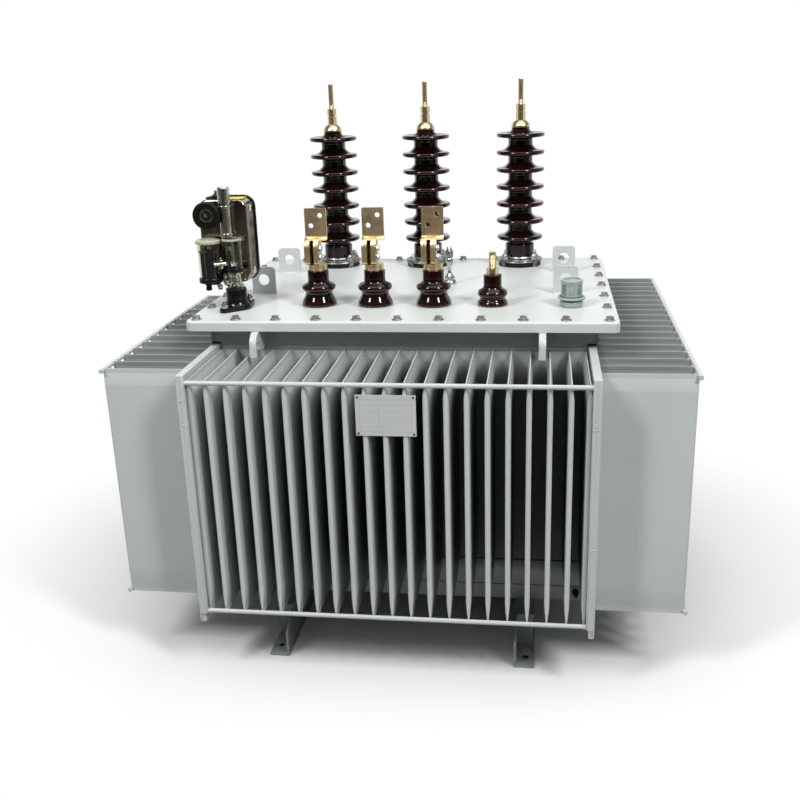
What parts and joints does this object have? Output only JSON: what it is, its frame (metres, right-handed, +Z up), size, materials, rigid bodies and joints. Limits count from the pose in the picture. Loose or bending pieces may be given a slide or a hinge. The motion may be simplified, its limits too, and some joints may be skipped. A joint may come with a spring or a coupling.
{
  "type": "power transformer",
  "caption": "Oil-filled distribution transformer: finned tank on skids, flat bolted cover with porcelain bushings, lifting lugs, filler and protection relay",
  "frame": {"origin": "on the floor under the middle of the tank", "axes": "+Z up, +X to the right of a viewer who faces the nameplate, -Y the front with the low-voltage bushings and the nameplate"},
  "size_m": [1.526, 1.4, 1.521],
  "materials": {
    "plug_metal": "dark plug",
    "tank_paint": "light grey satin paint",
    "hv_porcelain": "dark brown glaze, glossy",
    "clamp_metal": "dark cast metal",
    "brass": "satin brass",
    "skid_paint": "grey-green satin paint",
    "lv_porcelain": "brown glaze, glossy",
    "plate_metal": "matt metal plate",
    "clear_plastic": "clear plastic",
    "black_plastic": "black plastic",
    "bright_metal": "zinc plated",
    "relay_chrome": "polished stainless cover",
    "black_metal": "black gloss paint"
  },
  "bodies": {
    "root": {"drain_plug": "plug_metal", "filler_cap": "tank_paint", "filler_neck": "tank_paint", "front_end_plates": "tank_paint", "front_fin_rods": "tank_paint", "front_fin_wall": "tank_paint", "front_lashing_hooks": "tank_paint", "hv_bushing_1": "hv_porcelain", "hv_bushing_2": "hv_porcelain", "hv_bushing_3": "hv_porcelain", "hv_clamp_ring_1": "clamp_metal", "hv_clamp_ring_2": "clamp_metal", "hv_clamp_ring_3": "clamp_metal", "hv_terminal_1": "brass", "hv_terminal_2": "brass", "hv_terminal_3": "brass", "left_fin_rods": "tank_paint", "left_fin_wall": "tank_paint", "left_lifting_lugs": "tank_paint", "left_skid": "skid_paint", "lv_bushing_1": "lv_porcelain", "lv_bushing_2": "lv_porcelain", "lv_bushing_3": "lv_porcelain", "lv_terminal_1": "brass", "lv_terminal_2": "brass", "lv_terminal_3": "brass", "nameplate": "plate_metal", "neutral_bushing": "lv_porcelain", "neutral_stud": "brass", "rear_end_plates": "tank_paint", "rear_fin_rods": "tank_paint", "rear_fin_wall": "tank_paint", "rear_lashing_hooks": "tank_paint", "relay_chambers": "clear_plastic", "relay_dial": "black_plastic", "relay_fittings": "bright_metal", "relay_housing": "relay_chrome", "relay_pedestal": "black_metal", "relief_valve": "bright_metal", "right_fin_rods": "tank_paint", "right_fin_wall": "tank_paint", "right_lifting_lugs": "tank_paint", "right_skid": "skid_paint", "tank_cover": "tank_paint", "tank_floor_tray": "tank_paint", "tank_top_band": "tank_paint"}
  },
  "joints": []
}
